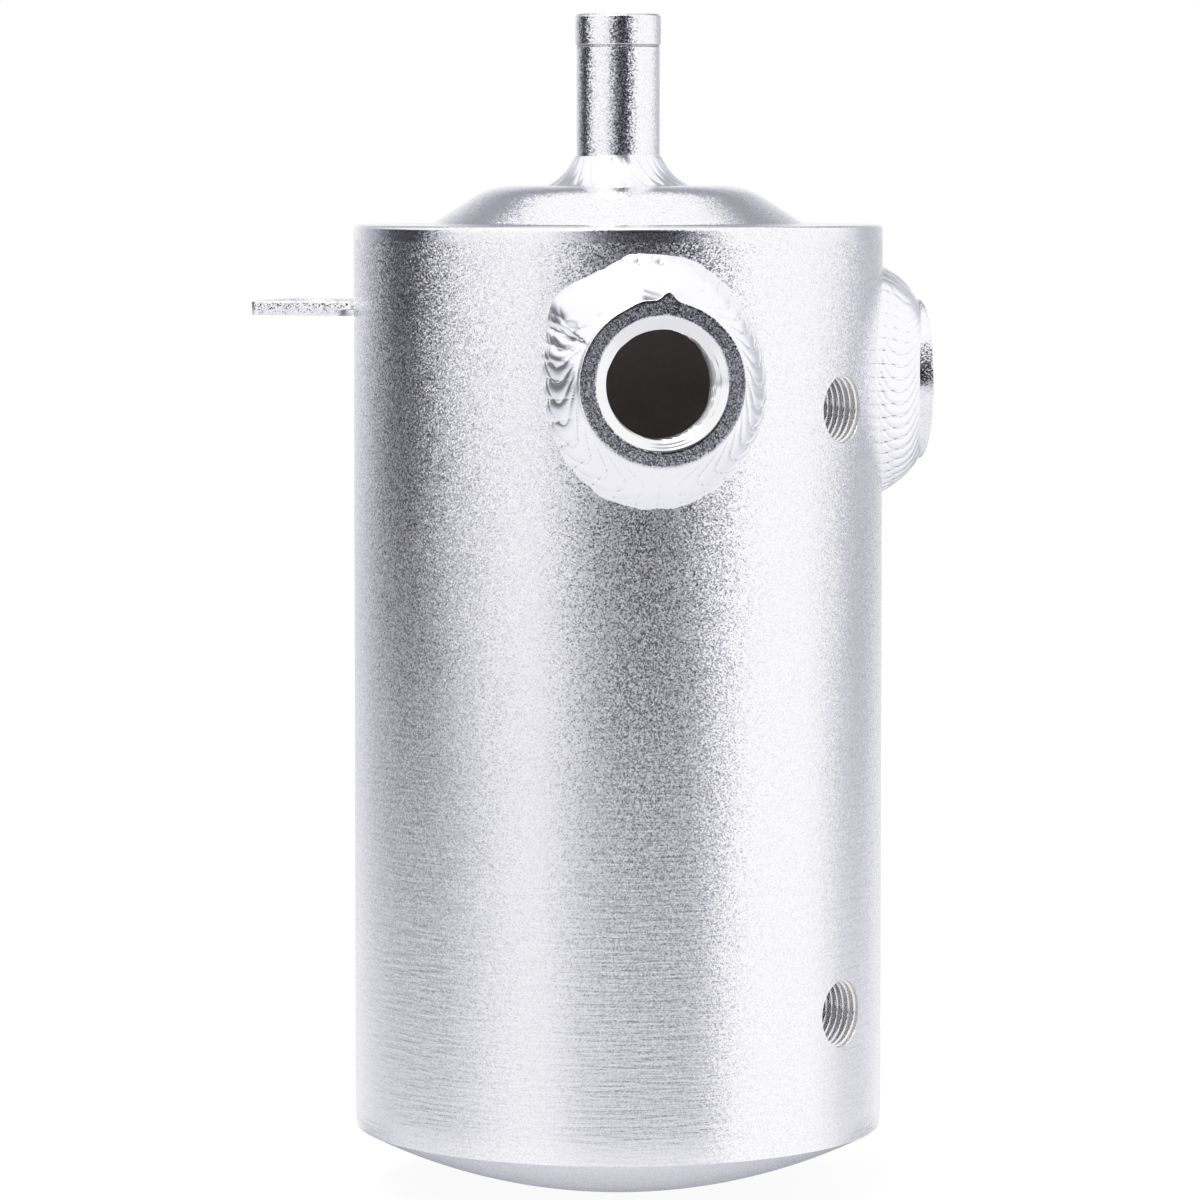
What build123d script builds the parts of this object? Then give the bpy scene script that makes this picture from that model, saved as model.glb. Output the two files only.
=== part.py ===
# Oil catch can: a welded aluminium can with a raised lid, a domed base, a hose nipple,
# two threaded bungs, two tapped sight ports and a mounting tab.
# Millimetres, +Z up, side bung along +X, front bung along -Y.
# Shapes are built about the can's axis with the lid's flat rim at z = 0, and exported with the origin
# at the centre of the tab's bolt hole, on the tab's underside.
import os
from math import cos, pi, radians, sin, sqrt, tan

from build123d import *

# Can body
TUBE_OD = 88.9
TUBE_WALL = 2.5
SIDE_HEIGHT = 151.6            # straight side, lid rim to base rim

# Lid, a pressed disc with a raised centre
LID_WALL = 2.5
LID_EDGE_ROUND = 0.8
DOME_FOOT_R = 31.4             # where the dome's slope would meet the flat rim
DOME_RISE = 6.5
DOME_SLOPE = 33.0              # degrees from the flat rim
DOME_FOOT_FILLET = 2.0
DOME_SHOULDER_R = 12.0

# Base, a shallow spherical dish
BASE_DEPTH = 10.8
BASE_WALL = 2.5

# Hose nipple on the lid
NIPPLE_OD = 14.0
NIPPLE_WALL = 1.75
NIPPLE_HEIGHT = 28.7           # above the dome's crown
NIPPLE_LIP_STEP = 0.2          # lip beyond the nipple's wall
NIPPLE_LIP_HEIGHT = 5.2
NIPPLE_LIP_BREAK = 0.4         # chamfer on the lip's top edges
NIPPLE_FOOT_STEP = 0.25        # spigot that stands in the lid and ends at the weld's top
NIPPLE_FOOT_CLEARANCE = 0.05
NIPPLE_WELD_HEIGHT = 5.1
NIPPLE_WELD_LEG = 4.6          # along the crown
NIPPLE_WELD_HOLLOW = 0.7       # how far the bead's face dips below a straight line
NIPPLE_WELD_RIPPLES = 18
NIPPLE_WELD_LEAN = 7.0         # degrees that each ripple is tipped

# Threaded bungs, coped to the tube
PORT_BORE = 17.6
BUNG_WALL = 4.7
BUNG_PROUD = 7.05              # face beyond the tube's nearest point
BUNG_EDGE_BREAK = 0.2
PORT_MOUTH_STEP = 1.9          # mouth's countersink beyond the bore
PORT_MOUTH_DEPTH = 1.1
PORT_HOLE_CLEARANCE = 0.7      # hole in the tube, beyond the bore
FRONT_PORT_ANGLE = -90.0
FRONT_PORT_DROP = 25.0         # bung axis below the lid rim
SIDE_PORT_ANGLE = 0.0
SIDE_PORT_DROP = 26.2

# Weld beads round the bungs
BUNG_WELD_SIDE_SETBACK = 2.3   # bead's top edge below the bung's face, at its flanks
BUNG_WELD_END_SETBACK = 0.6    # the same above and below the bung
BUNG_WELD_SIDE_LEG = 4.1       # bead's width on the tube at the bung's flanks
FRONT_WELD_END_LEG = 6.8       # the same above and below the bung
SIDE_WELD_END_LEG = 5.6
PUDDLE_PITCH = 3.3
PUDDLE_LEAN = 10.0             # degrees that each puddle leans in the direction of travel
PUDDLE_DEPTH = 5.0             # reaches the corner under the bead
PUDDLE_BITE = 0.3              # how far a puddle runs into the tube and the bung
WELD_WANDER = 0.3              # unevenness of the hand-laid toe line
WELD_WANDER_WAVES = 5

# Sight ports, stepped bosses set in from inside and ground flush outside
SIGHT_ANGLE = -41.8
UPPER_SIGHT_DROP = 30.0        # below the lid rim
LOWER_SIGHT_RISE = 21.9        # above the base rim
SIGHT_BORE = 10.6
SIGHT_MOUTH_STEP = 0.3         # mouth's countersink beyond the bore
SIGHT_MOUTH_DEPTH = 0.6
SIGHT_LAND = 1.3               # spigot beyond the mouth
SIGHT_SPIGOT_CLEARANCE = 0.05
SIGHT_SHOULDER_STEP = 2.7      # shoulder beyond the spigot
SIGHT_SHOULDER_LENGTH = 6.5    # inward from the tube's inner wall

# Mounting tab
TAB_ANGLE = 158.0
TAB_DROP = 13.0                # upper face below the lid rim
TAB_THICKNESS = 2.4
TAB_HOLE = 8.5
TAB_HOLE_REACH = 8.6           # bolt hole's centre beyond the tube
TAB_SIDE_MARGIN = 6.25         # metal beside the hole
TAB_END_MARGIN = 4.35          # metal beyond the hole
TAB_CORNER = 1.5
TAB_WELD_EDGE_LEG = 3.2        # bead at the tab's two side edges
TAB_WELD_FACE_LEG = 0.8        # bead on its upper face
TAB_WELD_TOE = 0.15            # thickness at which the bead ends

TUBE_R = TUBE_OD / 2
TUBE_INNER_R = TUBE_R - TUBE_WALL
NIPPLE_R = NIPPLE_OD / 2
NIPPLE_BORE_R = NIPPLE_R - NIPPLE_WALL
NIPPLE_FOOT_R = NIPPLE_R + NIPPLE_FOOT_STEP
PORT_R = PORT_BORE / 2
BUNG_R = PORT_R + BUNG_WALL
BUNG_FACE = TUBE_R + BUNG_PROUD
SIGHT_R = SIGHT_BORE / 2
SIGHT_SPIGOT_R = SIGHT_R + SIGHT_MOUTH_STEP + SIGHT_LAND
SIGHT_DROPS = {"upper": UPPER_SIGHT_DROP, "lower": SIDE_HEIGHT - LOWER_SIGHT_RISE}
TAB_WIDTH = TAB_HOLE + 2 * TAB_SIDE_MARGIN
TAB_HOLE_AXIS = TUBE_R + TAB_HOLE_REACH
TAB_END = TAB_HOLE_AXIS + TAB_HOLE / 2 + TAB_END_MARGIN
TAB_UNDERSIDE = -TAB_DROP - TAB_THICKNESS
ORIGIN = Vector(TAB_HOLE_AXIS, 0, TAB_UNDERSIDE).rotate(Axis.Z, TAB_ANGLE)


def solid_cylinder(radius, low, high):
    """Upright cylinder on the can's axis between two heights."""
    return Pos(0, 0, low) * Cylinder(radius, high - low, align=(Align.CENTER, Align.CENTER, Align.MIN))


def tube_envelope():
    """The tube's outside as a solid rod, taller than the can, for coping and trimming."""
    return Cylinder(TUBE_R, 2 * SIDE_HEIGHT + 2 * NIPPLE_HEIGHT)


def along_x(radius, start, end):
    """Cylinder lying on the X axis between two distances from the can's axis."""
    rod = Cylinder(radius, end - start, align=(Align.CENTER, Align.CENTER, Align.MIN))
    return Pos(start, 0, 0) * Rot(0, 90, 0) * rod


def mouth_cone(bore_radius, mouth_radius, depth, face):
    """Countersink on the X axis that opens from the bore to the mouth at the given face."""
    cone = Cone(bore_radius, mouth_radius, depth, align=(Align.CENTER, Align.CENTER, Align.MIN))
    return Pos(face - depth, 0, 0) * Rot(0, 90, 0) * cone


def on_side(shape, angle, drop):
    """Turns a shape built on the X axis to its angle and height on the can."""
    return Pos(0, 0, -drop) * Rot(0, 0, angle) * shape


def revolved(face):
    """Full turn of a section drawn in the XZ plane."""
    return revolve(face, Axis.Z)


def section(*points):
    """Closed straight-sided section in the XZ plane, from (radius, height) points."""
    return Plane.XZ * make_face(Polyline(*points, close=True))


def corner_at(face, radius, height):
    """The section's corner nearest to a (radius, height) point."""
    return face.vertices().sort_by_distance(Vector(radius, 0, height))[0]


def can_tube():
    outside = solid_cylinder(TUBE_R, -SIDE_HEIGHT, -LID_WALL)
    inside = solid_cylinder(TUBE_INNER_R, -SIDE_HEIGHT, -LID_WALL)
    tube = outside - inside
    port_hole = along_x(PORT_R + PORT_HOLE_CLEARANCE, 0, BUNG_FACE)
    sight_hole = along_x(SIGHT_SPIGOT_R + SIGHT_SPIGOT_CLEARANCE, 0, BUNG_FACE)
    tube -= on_side(port_hole, FRONT_PORT_ANGLE, FRONT_PORT_DROP)
    tube -= on_side(port_hole, SIDE_PORT_ANGLE, SIDE_PORT_DROP)
    for drop in SIGHT_DROPS.values():
        tube -= on_side(sight_hole, SIGHT_ANGLE, drop)
    return tube


def top_cap():
    crown_r = DOME_FOOT_R - DOME_RISE / tan(radians(DOME_SLOPE))
    hole_r = NIPPLE_FOOT_R + NIPPLE_FOOT_CLEARANCE
    inward = LID_WALL * tan(radians(DOME_SLOPE) / 2)
    crown = (crown_r, DOME_RISE)
    foot = (DOME_FOOT_R, 0)
    crown_under = (crown_r - inward, DOME_RISE - LID_WALL)
    foot_under = (DOME_FOOT_R - inward, -LID_WALL)
    lid = section(
        (hole_r, DOME_RISE), crown, foot, (TUBE_R, 0),
        (TUBE_R, -LID_WALL), foot_under, crown_under, (hole_r, DOME_RISE - LID_WALL),
    )
    lid = fillet(corner_at(lid, *crown), DOME_SHOULDER_R)
    lid = fillet(corner_at(lid, *crown_under), DOME_SHOULDER_R - LID_WALL)
    lid = fillet(corner_at(lid, *foot), DOME_FOOT_FILLET)
    lid = fillet(corner_at(lid, *foot_under), DOME_FOOT_FILLET + LID_WALL)
    lid = fillet(corner_at(lid, TUBE_R, 0), LID_EDGE_ROUND)
    return revolved(lid)


def base_cap():
    outer_r = (TUBE_R ** 2 + BASE_DEPTH ** 2) / (2 * BASE_DEPTH)
    centre = Pos(0, 0, -SIDE_HEIGHT - BASE_DEPTH + outer_r)
    shell = centre * (Sphere(outer_r) - Sphere(outer_r - BASE_WALL))
    return shell & solid_cylinder(TUBE_R, -SIDE_HEIGHT - 2 * BASE_DEPTH, -SIDE_HEIGHT)


def vent_nipple():
    lip_r = NIPPLE_R + NIPPLE_LIP_STEP
    foot_top = DOME_RISE + NIPPLE_WELD_HEIGHT
    top = DOME_RISE + NIPPLE_HEIGHT
    lip_base = top - NIPPLE_LIP_HEIGHT
    bottom = DOME_RISE - LID_WALL
    wall = section(
        (NIPPLE_BORE_R, bottom), (NIPPLE_FOOT_R, bottom), (NIPPLE_FOOT_R, foot_top), (NIPPLE_R, foot_top),
        (NIPPLE_R, lip_base), (lip_r, lip_base), (lip_r, top), (NIPPLE_BORE_R, top),
    )
    wall = chamfer([corner_at(wall, lip_r, top), corner_at(wall, NIPPLE_BORE_R, top)], NIPPLE_LIP_BREAK)
    return revolved(wall)


def nipple_weld():
    toe_r = NIPPLE_FOOT_R + NIPPLE_WELD_LEG
    crest = Vector(NIPPLE_FOOT_R, 0, DOME_RISE + NIPPLE_WELD_HEIGHT)
    toe = Vector(toe_r, 0, DOME_RISE)
    hollow = Vector(-NIPPLE_WELD_HEIGHT, 0, -NIPPLE_WELD_LEG).normalized() * NIPPLE_WELD_HOLLOW
    face_line = ThreePointArc(crest, (crest + toe) / 2 + hollow, toe)
    root = Vector(NIPPLE_BORE_R, 0, DOME_RISE - LID_WALL)
    below_toe = Vector(toe_r, 0, root.Z)
    above_root = Vector(root.X, 0, crest.Z)
    back_line = Polyline(toe, below_toe, root, above_root, crest)
    bead_section = make_face([face_line, back_line])
    step = 360 / NIPPLE_WELD_RIPPLES
    wedge = Rot(0, 0, -step) * revolve(bead_section, Axis.Z, 2 * step)
    pivot = Pos(0, 0, DOME_RISE)
    ripple = pivot * Rot(NIPPLE_WELD_LEAN, 0, 0) * pivot.inverse() * wedge
    ripples = [Rot(0, 0, step * index) * ripple for index in range(NIPPLE_WELD_RIPPLES)]
    bead = ripples[0].fuse(*ripples[1:])
    bead -= solid_cylinder(2 * toe_r, -LID_WALL, DOME_RISE)
    return bead - solid_cylinder(NIPPLE_FOOT_R, 0, DOME_RISE + NIPPLE_HEIGHT)


def bung():
    """Bung on the X axis: coped to the tube, bored, with a countersunk mouth."""
    body = along_x(BUNG_R, 0, BUNG_FACE)
    rim = body.edges().filter_by(GeomType.CIRCLE).sort_by(Axis.X)[-1]
    body = chamfer(rim, BUNG_EDGE_BREAK)
    body -= tube_envelope()
    body -= along_x(PORT_R, 0, BUNG_FACE)
    return body - mouth_cone(PORT_R, PORT_R + PORT_MOUTH_STEP, PORT_MOUTH_DEPTH, BUNG_FACE)


def puddle(toe, root, crest, travel):
    """One weld puddle: a disc across the bead from toe to crest that leans in the direction of travel."""
    across = crest - toe
    middle = (toe + crest) / 2
    outward = across.cross(travel).normalized()
    if outward.dot(middle - root) < 0:
        outward = -outward
    lean = radians(PUDDLE_LEAN)
    axis = outward * cos(lean) + travel * sin(lean)
    disc_r = across.length / 2 + PUDDLE_BITE
    disc = Cylinder(disc_r, PUDDLE_DEPTH, align=(Align.CENTER, Align.CENTER, Align.MAX))
    return Plane(middle, x_dir=across, z_dir=axis) * disc


def bung_weld(end_leg):
    """Bead round a bung on the X axis, laid from the bottom up along each flank."""
    def bead_points(turn):
        """Toe on the tube, root corner and crest on the bung, at an angle round the bung."""
        leg = BUNG_WELD_SIDE_LEG + (end_leg - BUNG_WELD_SIDE_LEG) * sin(turn) ** 2
        leg += WELD_WANDER * sin(WELD_WANDER_WAVES * turn)
        toe_y = (BUNG_R + leg) * cos(turn)
        root_y = BUNG_R * cos(turn)
        root_z = BUNG_R * sin(turn)
        toe = Vector(sqrt(TUBE_R ** 2 - toe_y ** 2), toe_y, (BUNG_R + leg) * sin(turn))
        root = Vector(sqrt(TUBE_R ** 2 - root_y ** 2), root_y, root_z)
        setback = BUNG_WELD_SIDE_SETBACK + (BUNG_WELD_END_SETBACK - BUNG_WELD_SIDE_SETBACK) * sin(turn) ** 2
        crest = Vector(BUNG_FACE - setback, root_y, root_z)
        return toe, root, crest

    half_path = pi * (BUNG_R + (BUNG_WELD_SIDE_LEG + end_leg) / 4)
    steps = round(half_path / PUDDLE_PITCH)
    puddles = []
    for index in range(steps + 1):
        turn = -pi / 2 + pi * index / steps
        travel = Vector(0, -sin(turn), cos(turn))
        puddles.append(puddle(*bead_points(turn), travel))
    flank = puddles[0].fuse(*puddles[1:])
    flank -= tube_envelope() + along_x(BUNG_R, 0, 2 * BUNG_FACE)
    return flank + mirror(flank, Plane.XZ)


def sight_boss():
    """Tapped boss on the X axis: a spigot in the tube's hole and a shoulder against its inner wall."""
    inner_end = TUBE_INNER_R - SIGHT_SHOULDER_LENGTH
    shoulder_r = SIGHT_SPIGOT_R + SIGHT_SHOULDER_STEP
    spigot = along_x(SIGHT_SPIGOT_R, inner_end, BUNG_FACE) & tube_envelope()
    shoulder = along_x(shoulder_r, inner_end, BUNG_FACE) & Cylinder(TUBE_INNER_R, 4 * shoulder_r)
    boss = spigot + shoulder
    boss -= along_x(SIGHT_R, 0, BUNG_FACE)
    return boss - mouth_cone(SIGHT_R, SIGHT_R + SIGHT_MOUTH_STEP, SIGHT_MOUTH_DEPTH, TUBE_R)


def tab_blank():
    """Uncoped tab on the X axis, standing on z = 0."""
    blank = Pos(TAB_END / 2, 0, 0) * Rectangle(TAB_END, TAB_WIDTH)
    blank = fillet(blank.vertices().sort_by(Axis.X)[-2:], TAB_CORNER)
    return extrude(blank, TAB_THICKNESS)


def mounting_tab():
    tab = tab_blank() - tube_envelope()
    return tab - Pos(TAB_HOLE_AXIS, 0, 0) * Cylinder(TAB_HOLE / 2, 4 * TAB_THICKNESS)


def tab_weld():
    """Bead over the tab's root, widest at its side edges, with the underside left flat for seating."""
    edge_root = sqrt(TUBE_R ** 2 - (TAB_WIDTH / 2) ** 2)
    wide = TAB_WIDTH / 2 + TAB_WELD_EDGE_LEG
    start = sqrt(TUBE_R ** 2 - wide ** 2)
    end = edge_root + TAB_WELD_EDGE_LEG
    mid_height = TAB_THICKNESS / 2

    def ring_section(reach, side_growth, face_growth):
        plane = Plane((reach, 0, mid_height), x_dir=(0, 1, 0), z_dir=(1, 0, 0))
        return plane * Rectangle(TAB_WIDTH + 2 * side_growth, TAB_THICKNESS + 2 * face_growth)

    bead = loft([
        ring_section(start, TAB_WELD_EDGE_LEG, TAB_WELD_FACE_LEG),
        ring_section(end, TAB_WELD_TOE, TAB_WELD_TOE),
    ])
    bead -= tube_envelope() + tab_blank()
    return split(bead, Plane.XY, keep=Keep.TOP)


def nodes():
    """Every piece of the can, in the can's own axes."""
    pieces = {
        "can_tube": can_tube(),
        "top_cap": top_cap(),
        "base_cap": base_cap(),
        "vent_nipple": vent_nipple(),
        "nipple_weld": nipple_weld(),
        "front_bung": on_side(bung(), FRONT_PORT_ANGLE, FRONT_PORT_DROP),
        "front_bung_weld": on_side(bung_weld(FRONT_WELD_END_LEG), FRONT_PORT_ANGLE, FRONT_PORT_DROP),
        "side_bung": on_side(bung(), SIDE_PORT_ANGLE, SIDE_PORT_DROP),
        "side_bung_weld": on_side(bung_weld(SIDE_WELD_END_LEG), SIDE_PORT_ANGLE, SIDE_PORT_DROP),
        "mounting_tab": on_side(mounting_tab(), TAB_ANGLE, -TAB_UNDERSIDE),
        "tab_weld": on_side(tab_weld(), TAB_ANGLE, -TAB_UNDERSIDE),
    }
    for level, drop in SIGHT_DROPS.items():
        pieces[level + "_sight_boss"] = on_side(sight_boss(), SIGHT_ANGLE, drop)
    return pieces


os.makedirs("parts", exist_ok=True)
for name, piece in nodes().items():
    export_step(Pos(-ORIGIN.X, -ORIGIN.Y, -ORIGIN.Z) * piece, f"parts/{name}.step")
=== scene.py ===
# Studio scene of a welded aluminium oil catch can
# Pieces are built in millimetres about the can's axis, with the lid's flat rim at z = 0 and +Z up,
# and are then placed in the frame, which is in metres.
import math

import bmesh
import bpy
import numpy as np
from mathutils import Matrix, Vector


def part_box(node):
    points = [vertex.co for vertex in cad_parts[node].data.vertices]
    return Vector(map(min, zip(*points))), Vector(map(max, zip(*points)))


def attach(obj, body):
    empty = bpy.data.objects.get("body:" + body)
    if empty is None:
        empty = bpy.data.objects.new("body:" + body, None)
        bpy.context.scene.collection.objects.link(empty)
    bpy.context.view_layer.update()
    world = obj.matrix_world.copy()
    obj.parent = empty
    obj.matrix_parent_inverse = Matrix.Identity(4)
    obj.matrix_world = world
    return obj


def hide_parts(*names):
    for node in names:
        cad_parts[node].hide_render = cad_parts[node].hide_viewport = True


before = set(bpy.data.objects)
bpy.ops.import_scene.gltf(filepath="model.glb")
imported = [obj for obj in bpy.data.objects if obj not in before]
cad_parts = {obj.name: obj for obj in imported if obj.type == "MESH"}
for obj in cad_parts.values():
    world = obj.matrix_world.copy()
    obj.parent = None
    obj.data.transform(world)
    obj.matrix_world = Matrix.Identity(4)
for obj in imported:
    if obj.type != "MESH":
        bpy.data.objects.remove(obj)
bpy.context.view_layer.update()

MM = 0.001

# Walls that the frame's boxes do not show
TUBE_WALL = 2.5
LID_WALL = 2.5
BASE_WALL = 2.5

# Lid
LID_EDGE_ROUND = 0.8
DOME_FOOT_R = 31.4
DOME_SLOPE = math.radians(33)
DOME_FOOT_FILLET = 2.0
DOME_SHOULDER_R = 12.0

# Seam between the tube and the base
SEAM_BAND = 5.0  # height of tube that is dressed down to the seam
SEAM_EASE = 0.2  # how much is taken off there

# Cells of the tube's grid that hold the ports: degrees round the can, and heights
FRONT_CELL = (-107, -73)
SIGHT_CELL = (-54, -32)
SIDE_CELL = (-17, 17)
LOWER_CELL = (-140.0, -120.0)
UPPER_CELL = (-41.0, -11.0)

# Nipple and its bead
NIPPLE_R = 7.0
NIPPLE_BORE_R = 5.25
NIPPLE_FOOT_R = 7.25
NIPPLE_LIP_R = 7.2
NIPPLE_LIP_HEIGHT = 5.2
NIPPLE_LIP_BREAK = 0.4
NIPPLE_LIP_SLOPE = 0.1  # height of the lip's slanting underside
NIPPLE_GROOVE = 0.15  # depth of the turned line under the lip
NIPPLE_GROOVE_HEIGHT = 0.35
NIPPLE_GROOVE_FLOOR = 0.2  # height of its flat floor
NIPPLE_FOOT_COVER = 0.4  # foot's step below the bead's top
NIPPLE_WELD_HEIGHT = 5.1
NIPPLE_WELD_LEG = 4.6
NIPPLE_WELD_HOLLOW = 0.7
NIPPLE_WELD_RIPPLES = 24
NIPPLE_WELD_RELIEF = 0.12
NIPPLE_WELD_SLANT = 1.1  # lean of a ripple across the face, in pitches
NIPPLE_WELD_SCALLOP = 0.15  # how far each ripple pushes out the toe
NIPPLE_WELD_WAVE = 0.2
NIPPLE_WELD_TUCK = 0.1  # mean top below the stated height

# Threaded bungs: a 3/4-16 straight thread
PORT_MINOR_R = 8.8
PORT_MAJOR_R = 9.55
PORT_PITCH = 1.5875
PORT_MOUTH_R = 10.7
PORT_MOUTH_DEPTH = 1.1
PORT_TOOL_MARK = 0.03  # fine turned lines on the mouth
PORT_TOOL_FEED = 0.3
PORT_HOLE_R = 9.5  # hole in the tube behind the bung
BUNG_EDGE_BREAK = 0.2

# Threads, as shares of a thread's depth
THREAD_STEEPNESS = 1.2
THREAD_FLAT = 0.1  # flat left on the crests

# Weld beads round the bungs
BEAD_SIDE_SETBACK = 2.5  # crest below the bung's face, at its flanks
BEAD_END_SETBACK = 0.5  # the same above and below the bung
BEAD_SIDE_LEG = 4.1  # width on the tube at the flanks
FRONT_BEAD_END_LEG = 6.8  # the same above and below the bung
SIDE_BEAD_END_LEG = 5.6
BEAD_BULGE = 0.55
FRONT_BEAD_PITCH = 3.0  # from ripple to ripple
SIDE_BEAD_PITCH = 2.1
FRONT_BEAD_TIGHTNESS = 0.0
SIDE_BEAD_TIGHTNESS = 0.4  # ripples closer together low on the bead, and wider apart above
FRONT_BEAD_SEED = 1.0  # sets the unevenness of the hand-laid bead
SIDE_BEAD_SEED = 2.3
BEAD_FACE = 7.0  # width across a bead's face
BEAD_NEST = 2.2  # depth of a ripple's U, in pitches
BEAD_RELIEF = 0.2
BEAD_SCALLOP = 0.4  # how far each ripple pushes out the toe
BEAD_LEG_WAVE = 0.25  # unevenness of the width on the tube
BEAD_BULGE_WAVE = 0.15  # of the swell
BEAD_CREST_WAVE = 0.12  # of the crest
BEAD_PATH_WAVE = 0.2  # of the ripples, in pitches
BEAD_FACE_CLEARANCE = 0.03  # highest point below the bung's face

# All beads
BEAD_SINK = 0.12  # how far a bead's hidden edges run into the metal under it
BEAD_ROOT_SINK = 0.48  # how far its root does
BEAD_TUCK = 0.1  # share of the way to the root at which its edges turn in
BEAD_TOE_SINK = 0.02  # toe below the skin it lies on
BEAD_EDGE_FADE = 0.15  # share of the face over which ripples fade at each edge
RIPPLE_ROUNDNESS = 0.4  # less is flatter crowns and tighter creases
RIPPLE_LEVEL = 0.6  # height on a ripple that lies level with the bead's plain face

# Sight ports: a small fine thread
SIGHT_ANGLE = math.radians(-41.8)
SIGHT_MINOR_R = 5.3
SIGHT_MAJOR_R = 5.95
SIGHT_PITCH = 1.08
SIGHT_MOUTH_R = 5.6
SIGHT_MOUTH_DEPTH = 0.6
SIGHT_SPIGOT_R = 6.9
SIGHT_SHOULDER_R = 9.6
SIGHT_SINK = 0.06  # boss's flush face below the tube's skin
SIGHT_SHOULDER_LENGTH = 6.5

# Mounting tab
TAB_ANGLE = math.radians(158)
TAB_HOLE_R = 4.25
TAB_HOLE_REACH = 8.6  # hole's centre beyond the tube
TAB_END_REACH = 17.2
TAB_WIDTH = 21.0
TAB_CORNER = 1.5
TAB_EDGE_BREAK = 0.25
TAB_BEAD_EDGE_LEG = 3.2
TAB_BEAD_FACE_LEG = 0.8
TAB_BEAD_BULGE = 0.5
TAB_BEAD_CORNER = 0.6  # rounding of its path over the tab's edges
TAB_BEAD_FACE_BAND = 0.3  # depth below the tab's top where the bead is still narrow
TAB_BEAD_CHANGE = 1.0  # height over which it grows to its full width
TAB_BEAD_PITCH = 1.6
TAB_BEAD_NEST = 0.5
TAB_BEAD_RELIEF = 0.06
TAB_BEAD_TOE_SINK = 0.03
TAB_BEAD_EDGE_FADE = 0.2

# Mesh fineness
SEGMENTS = 288  # stations round the can
ARC_STEP = math.radians(5)
HOLD = 0.25  # support points beside each rounded corner
SHARP = math.radians(38)  # edges steeper than this are drawn sharp
WAVE_HARMONICS = range(2, 7)


def node_box(node):
    """Corners of a CAD node in frame millimetres."""
    low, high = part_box(node)
    return np.array(low) / MM, np.array(high) / MM


# Sizes and places read from the frame
tube_low, tube_high = node_box("can_tube")
CAN_ORIGIN = np.array((
    (tube_low[0] + tube_high[0]) / 2,
    (tube_low[1] + tube_high[1]) / 2,
    tube_high[2] + LID_WALL,
))
TUBE_R = (tube_high[0] - tube_low[0]) / 2
TUBE_INNER_R = TUBE_R - TUBE_WALL
TUBE_TOP = -LID_WALL
TUBE_BOTTOM = tube_low[2] - CAN_ORIGIN[2]
CROWN = node_box("top_cap")[1][2] - CAN_ORIGIN[2]
BASE_BOTTOM = node_box("base_cap")[0][2] - CAN_ORIGIN[2]
NIPPLE_TOP = node_box("vent_nipple")[1][2] - CAN_ORIGIN[2]
side_low, side_high = node_box("side_bung")
front_low, front_high = node_box("front_bung")
BUNG_FACE = side_high[0] - CAN_ORIGIN[0]
BUNG_R = (side_high[1] - side_low[1]) / 2
FRONT_PORT = (math.radians(-90), (front_low[2] + front_high[2]) / 2 - CAN_ORIGIN[2])
SIDE_PORT = (0.0, (side_low[2] + side_high[2]) / 2 - CAN_ORIGIN[2])
TAB_UNDERSIDE = node_box("mounting_tab")[0][2] - CAN_ORIGIN[2]
TAB_THICKNESS = node_box("mounting_tab")[1][2] - CAN_ORIGIN[2] - TAB_UNDERSIDE


def boss_height(node):
    """Height of a boss's axis from the lid's rim."""
    low, high = node_box(node)
    return (low[2] + high[2]) / 2 - CAN_ORIGIN[2]


UPPER_SIGHT = (SIGHT_ANGLE, boss_height("upper_sight_boss"))
LOWER_SIGHT = (SIGHT_ANGLE, boss_height("lower_sight_boss"))


# Geometry helpers

def rounded(*corners):
    """Closed outline from (across, up, rounding) corners, with support points beside each rounding."""
    points = []
    for index, (across, up, rounding) in enumerate(corners):
        here = np.array((across, up), float)
        to_before = np.array(corners[index - 1][:2]) - here
        to_after = np.array(corners[(index + 1) % len(corners)][:2]) - here
        before = to_before / np.linalg.norm(to_before)
        after = to_after / np.linalg.norm(to_after)
        if rounding == 0:
            points.append(here)
            continue
        half = math.acos(np.clip(before @ after, -1, 1)) / 2
        reach = rounding / math.tan(half)
        middle = before + after
        centre = here + middle / np.linalg.norm(middle) * rounding / math.sin(half)
        start = here + before * reach - centre
        end = here + after * reach - centre
        first = math.atan2(start[1], start[0])
        sweep = math.remainder(math.atan2(end[1], end[0]) - first, math.tau)
        steps = max(3, math.ceil(abs(sweep) / ARC_STEP))
        points.append(here + before * (reach + HOLD))
        for step in range(steps + 1):
            turn = first + sweep * step / steps
            points.append(centre + rounding * np.array((math.cos(turn), math.sin(turn))))
        points.append(here + after * (reach + HOLD))
    return np.array(points)


def turned(section):
    """A closed (radius, height) section turned about the can's axis: stations by points by 3."""
    turn = np.linspace(0, math.tau, SEGMENTS, endpoint=False)
    radius, height = section.T
    flat = np.broadcast_to(height, (SEGMENTS, len(height)))
    return np.stack([np.outer(np.cos(turn), radius), np.outer(np.sin(turn), radius), flat], axis=-1)


def on_side(points, port):
    """Turns points built on the X axis to a port's angle and height on the can."""
    angle, height = port
    x, y, z = np.moveaxis(np.asarray(points, float), -1, 0)
    across = x * math.cos(angle) - y * math.sin(angle)
    along = x * math.sin(angle) + y * math.cos(angle)
    return np.stack([across, along, z + height], axis=-1)


def ring_faces(stations, count):
    """Quads that join closed sections of count points into a closed ring."""
    i = np.arange(stations)[:, None]
    j = np.arange(count)[None, :]
    i_next = (i + 1) % stations
    j_next = (j + 1) % count
    corners = [i * count + j, i_next * count + j, i_next * count + j_next, i * count + j_next]
    return np.stack(corners, axis=-1).reshape(-1, 4)


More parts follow.
